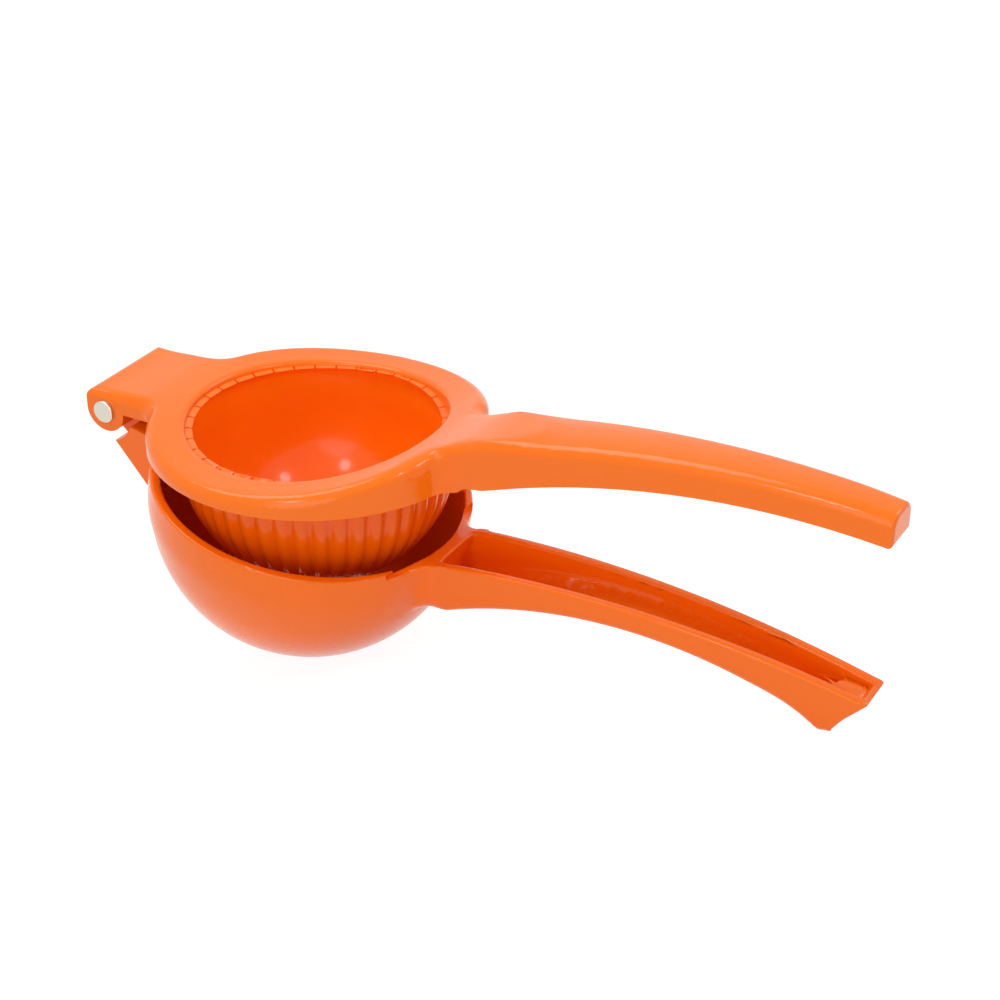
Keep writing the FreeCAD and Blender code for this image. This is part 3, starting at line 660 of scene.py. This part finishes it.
def buildStrainer():
    piece = startCasting("strainer_lever", "strainer_casting")
    roundEdges(piece, strainer, onBossTop, strainer["bossRound"], 3)
    roundEdges(piece, strainer, onHandleEdge, strainer["edgeRound"], 3)
    size = strainer["meshSize"]
    densify(piece, strainer, alongHandle, size["handle"], 4)
    densify(piece, strainer, aroundBoss, size["boss"], 4)
    densify(piece, strainer, strainerRoot, size["root"], 4)
    for reshape in (shapeBoss, thinEnd, shapeHandle, swellLip, keepOffFloor):
        setPoints(piece, strainer, *reshape(*getPoints(piece, strainer)))
    soften(piece, strainer, strainerRootShare, strainer["rootRubs"])
    soften(piece, strainer, bossShare, strainer["bossRubs"])
    finishCasting(piece, "strainer_lever", "strainer")
    return piece


strainerCasting = buildStrainer()
print("strainer lever shaped")
pressCasting = buildPress()
pressRibs = buildRibs()
pressMouth = buildMouthEdge()
print("press lever and ribs shaped")


# node helpers
def newMaterial(name):
    material = bpy.data.materials.new(name)
    material.use_nodes = True
    nodes = material.node_tree.nodes
    nodes.clear()
    output = nodes.new("ShaderNodeOutputMaterial")
    output.location = (700, 0)
    return material, nodes, material.node_tree.links, output


def addNode(nodes, kind, place, **values):
    node = nodes.new(kind)
    node.location = place
    for name, value in values.items():
        if hasattr(node, name):
            setattr(node, name, value)
        else:
            node.inputs[name].default_value = value
    return node


# glaze: cloudy tone, fine orange peel and uneven gloss, shared by the enamels
def buildGlazeGroup():
    group = bpy.data.node_groups.new("enamelGlaze", "ShaderNodeTree")
    face = group.interface
    for name, kind in (("Base", "NodeSocketColor"), ("Deep", "NodeSocketColor"),
                       ("Cloud", "NodeSocketFloat"), ("Gloss", "NodeSocketFloat"),
                       ("Peel", "NodeSocketFloat")):
        face.new_socket(name=name, in_out="INPUT", socket_type=kind)
    for name, kind in (("Color", "NodeSocketColor"), ("Roughness", "NodeSocketFloat"),
                       ("Normal", "NodeSocketVector")):
        face.new_socket(name=name, in_out="OUTPUT", socket_type=kind)
    nodes, links = group.nodes, group.links
    given = addNode(nodes, "NodeGroupInput", (-900, 0))
    made = addNode(nodes, "NodeGroupOutput", (700, 0))
    place = addNode(nodes, "ShaderNodeTexCoord", (-900, -300))

    cloud = addNode(nodes, "ShaderNodeTexNoise", (-650, 200), Scale=22.0, Detail=3.0, Roughness=0.55)
    links.new(place.outputs["Object"], cloud.inputs["Vector"])
    spread = addNode(nodes, "ShaderNodeMapRange", (-430, 200))
    spread.inputs["From Min"].default_value = 0.35
    spread.inputs["From Max"].default_value = 0.65
    links.new(cloud.outputs["Fac"], spread.inputs["Value"])
    share = addNode(nodes, "ShaderNodeMath", (-230, 200), operation="MULTIPLY")
    links.new(spread.outputs["Result"], share.inputs[0])
    links.new(given.outputs["Cloud"], share.inputs[1])
    tone = addNode(nodes, "ShaderNodeMix", (0, 200), data_type="RGBA")
    links.new(share.outputs["Value"], tone.inputs["Factor"])
    links.new(given.outputs["Base"], tone.inputs["A"])
    links.new(given.outputs["Deep"], tone.inputs["B"])
    links.new(tone.outputs["Result"], made.inputs["Color"])

    smear = addNode(nodes, "ShaderNodeTexNoise", (-650, -100), Scale=70.0, Detail=4.0, Roughness=0.6)
    links.new(place.outputs["Object"], smear.inputs["Vector"])
    rough = addNode(nodes, "ShaderNodeMapRange", (-230, -100))
    rough.inputs["From Min"].default_value = 0.3
    rough.inputs["From Max"].default_value = 0.7
    rough.inputs["To Max"].default_value = 1.0
    links.new(smear.outputs["Fac"], rough.inputs["Value"])
    scaled = addNode(nodes, "ShaderNodeMath", (0, -100), operation="MULTIPLY_ADD")
    links.new(rough.outputs["Result"], scaled.inputs[0])
    scaled.inputs[1].default_value = 0.08
    links.new(given.outputs["Gloss"], scaled.inputs[2])
    links.new(scaled.outputs["Value"], made.inputs["Roughness"])

    peel = addNode(nodes, "ShaderNodeTexNoise", (-650, -400), Scale=420.0, Detail=2.0, Roughness=0.5)
    wave = addNode(nodes, "ShaderNodeTexNoise", (-650, -650), Scale=90.0, Detail=1.0, Roughness=0.4)
    links.new(place.outputs["Object"], peel.inputs["Vector"])
    links.new(place.outputs["Object"], wave.inputs["Vector"])
    both = addNode(nodes, "ShaderNodeMath", (-400, -500), operation="MULTIPLY_ADD")
    links.new(wave.outputs["Fac"], both.inputs[0])
    both.inputs[1].default_value = 2.0
    links.new(peel.outputs["Fac"], both.inputs[2])
    bump = addNode(nodes, "ShaderNodeBump", (0, -500), Distance=0.00004)
    links.new(given.outputs["Peel"], bump.inputs["Strength"])
    links.new(both.outputs["Value"], bump.inputs["Height"])
    links.new(bump.outputs["Normal"], made.inputs["Normal"])
    return group


glaze = buildGlazeGroup()

enamel = {
    "strainer": {"base": (1.0, 0.172, 0.002, 1), "deep": (0.96, 0.155, 0.002, 1),
                 "cloud": 0.4, "gloss": 0.22, "peel": 0.15},
    "press": {"base": (1.0, 0.180, 0.002, 1), "deep": (0.97, 0.162, 0.002, 1),
              "cloud": 0.4, "gloss": 0.20, "peel": 0.15},
    # ribs: a darker copy of the press enamel, painted shade on the ribs under the ring
    "ribs": {"base": (0.93, 0.128, 0.001, 1), "deep": (0.88, 0.108, 0.001, 1),
             "cloud": 0.4, "gloss": 0.20, "peel": 0.10},
}


def enamelMaterial(name, look):
    material, nodes, links, output = newMaterial(name)
    group = addNode(nodes, "ShaderNodeGroup", (-300, 0), node_tree=glaze)
    for socket in ("Base", "Deep", "Cloud", "Gloss", "Peel"):
        group.inputs[socket].default_value = look[socket.lower()]
    shader = addNode(nodes, "ShaderNodeBsdfPrincipled", (300, 0))
    links.new(group.outputs["Color"], shader.inputs["Base Color"])
    links.new(group.outputs["Roughness"], shader.inputs["Roughness"])
    links.new(group.outputs["Normal"], shader.inputs["Normal"])
    shader.inputs["IOR"].default_value = 1.25
    shader.inputs["Coat Weight"].default_value = 0.3
    shader.inputs["Coat Roughness"].default_value = 0.1
    links.new(shader.outputs["BSDF"], output.inputs["Surface"])
    return material


rivet = {"base": (0.64, 0.59, 0.49, 1), "roughness": 0.3}


def rivetMaterial():
    material, nodes, links, output = newMaterial("rivetSteel")
    place = addNode(nodes, "ShaderNodeTexCoord", (-900, 0))
    grain = addNode(nodes, "ShaderNodeTexNoise", (-650, 0), Scale=1500.0, Detail=3.0, Roughness=0.6)
    links.new(place.outputs["Object"], grain.inputs["Vector"])
    rough = addNode(nodes, "ShaderNodeMapRange", (-300, -100))
    rough.inputs["To Min"].default_value = rivet["roughness"] - 0.08
    rough.inputs["To Max"].default_value = rivet["roughness"] + 0.12
    links.new(grain.outputs["Fac"], rough.inputs["Value"])
    bump = addNode(nodes, "ShaderNodeBump", (-300, -300), Strength=0.4, Distance=0.00003)
    links.new(grain.outputs["Fac"], bump.inputs["Height"])
    shader = addNode(nodes, "ShaderNodeBsdfPrincipled", (300, 0))
    shader.inputs["Base Color"].default_value = rivet["base"]
    shader.inputs["Metallic"].default_value = 1.0
    links.new(rough.outputs["Result"], shader.inputs["Roughness"])
    links.new(bump.outputs["Normal"], shader.inputs["Normal"])
    links.new(shader.outputs["BSDF"], output.inputs["Surface"])
    return material


def dress(piece, material):
    slots = piece.data.materials
    if not slots:
        slots.append(material)
    for index in range(len(slots)):
        slots[index] = material


strainerEnamel = enamelMaterial("strainer_enamel", enamel["strainer"])
pressEnamel = enamelMaterial("press_enamel", enamel["press"])
dress(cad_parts["strainer_lever"], strainerEnamel)
dress(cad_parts["press_lever"], pressEnamel)
dress(strainerCasting, strainerEnamel)
dress(pressCasting, pressEnamel)
# the ribs get the darker enamel as painted shade; the real ribs have the same paint as the rest of
# the press lever
dress(pressRibs, enamelMaterial("rib_enamel_painted_shade", enamel["ribs"]))
dress(pressMouth, pressEnamel)
dress(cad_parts["hinge_pin"], rivetMaterial())
print("materials on")


# studio: white floor and world, a large soft box above and four weaker ones around
studio = {
    "worldLevel": 0.355,
    "lamps": {
        "overheadBox": {"place": (-0.22, -0.05, 0.78), "size": 0.5, "power": 2.7},
        "rightBox": {"place": (0.555, -0.034, 0.527), "size": 0.13, "power": 0.55},
        "frontBox": {"place": (0.045, -0.574, 0.559), "size": 0.14, "power": 0.6},
        "backBox": {"place": (0.50, 0.52, 0.52), "size": 0.4, "power": 1.4},
        "frontFill": {"place": (0.25, -0.92, 0.30), "size": 0.7, "power": 2.2},
    },
    "target": (0.0, 0.0, 0.04),
    "floorColor": (0.8, 0.8, 0.8, 1),
    "floorRadius": 1.6,
    # what the camera and reflections see of the floor: its own white, and a part that shows shadows
    "seenGlow": 0.915,
    "seenShade": (0.26, 0.26, 0.26, 1),
}


def seenDirectly(nodes, links, place):
    # 1 for camera, glossy and transmission rays
    path = addNode(nodes, "ShaderNodeLightPath", (place[0] - 450, place[1]))
    first = addNode(nodes, "ShaderNodeMath", (place[0] - 200, place[1]), operation="MAXIMUM")
    links.new(path.outputs["Is Camera Ray"], first.inputs[0])
    links.new(path.outputs["Is Glossy Ray"], first.inputs[1])
    second = addNode(nodes, "ShaderNodeMath", place, operation="MAXIMUM")
    links.new(first.outputs["Value"], second.inputs[0])
    links.new(path.outputs["Is Transmission Ray"], second.inputs[1])
    return second.outputs["Value"]


def buildWorld():
    world = bpy.data.worlds.new("studioWorld")
    bpy.context.scene.world = world
    world.use_nodes = True
    nodes, links = world.node_tree.nodes, world.node_tree.links
    nodes.clear()
    output = addNode(nodes, "ShaderNodeOutputWorld", (500, 0))
    light = addNode(nodes, "ShaderNodeBackground", (0, 0),
                    Color=(1, 1, 1, 1), Strength=studio["worldLevel"])
    white = addNode(nodes, "ShaderNodeBackground", (0, -200), Color=(1, 1, 1, 1), Strength=1.0)
    mix = addNode(nodes, "ShaderNodeMixShader", (250, 0))
    links.new(seenDirectly(nodes, links, (0, 300)), mix.inputs["Fac"])
    links.new(light.outputs["Background"], mix.inputs[1])
    links.new(white.outputs["Background"], mix.inputs[2])
    links.new(mix.outputs["Shader"], output.inputs["Surface"])


def floorMaterial():
    material, nodes, links, output = newMaterial("floorPaper")
    paper = addNode(nodes, "ShaderNodeBsdfDiffuse", (-50, 0), Color=studio["floorColor"])
    glow = addNode(nodes, "ShaderNodeEmission", (-250, -200),
                   Color=(1, 1, 1, 1), Strength=studio["seenGlow"])
    shade = addNode(nodes, "ShaderNodeBsdfDiffuse", (-250, -400), Color=studio["seenShade"])
    white = addNode(nodes, "ShaderNodeAddShader", (-50, -250))
    links.new(glow.outputs["Emission"], white.inputs[0])
    links.new(shade.outputs["BSDF"], white.inputs[1])
    mix = addNode(nodes, "ShaderNodeMixShader", (250, 0))
    links.new(seenDirectly(nodes, links, (-50, 300)), mix.inputs["Fac"])
    links.new(paper.outputs["BSDF"], mix.inputs[1])
    links.new(white.outputs["Shader"], mix.inputs[2])
    links.new(mix.outputs["Shader"], output.inputs["Surface"])
    return material


def buildFloor():
    deselectAll()
    bpy.ops.mesh.primitive_circle_add(vertices=96, radius=studio["floorRadius"], fill_type="NGON",
                                      location=(0, 0, -0.0001))
    floor = bpy.context.object
    floor.name = "studioFloor"
    floor.data.materials.append(floorMaterial())


def buildLamps():
    target = Vector(studio["target"])
    for name, lamp in studio["lamps"].items():
        place = Vector(lamp["place"])
        turn = (target - place).to_track_quat("-Z", "Y").to_euler()
        bpy.ops.object.light_add(type="AREA", location=place, rotation=turn)
        light = bpy.context.object
        light.name = name
        light.data.shape = "DISK"
        light.data.size = lamp["size"]
        light.data.energy = lamp["power"]


buildWorld()
buildFloor()
buildLamps()
bpy.context.scene.view_settings.view_transform = "Standard"
print("studio lit")
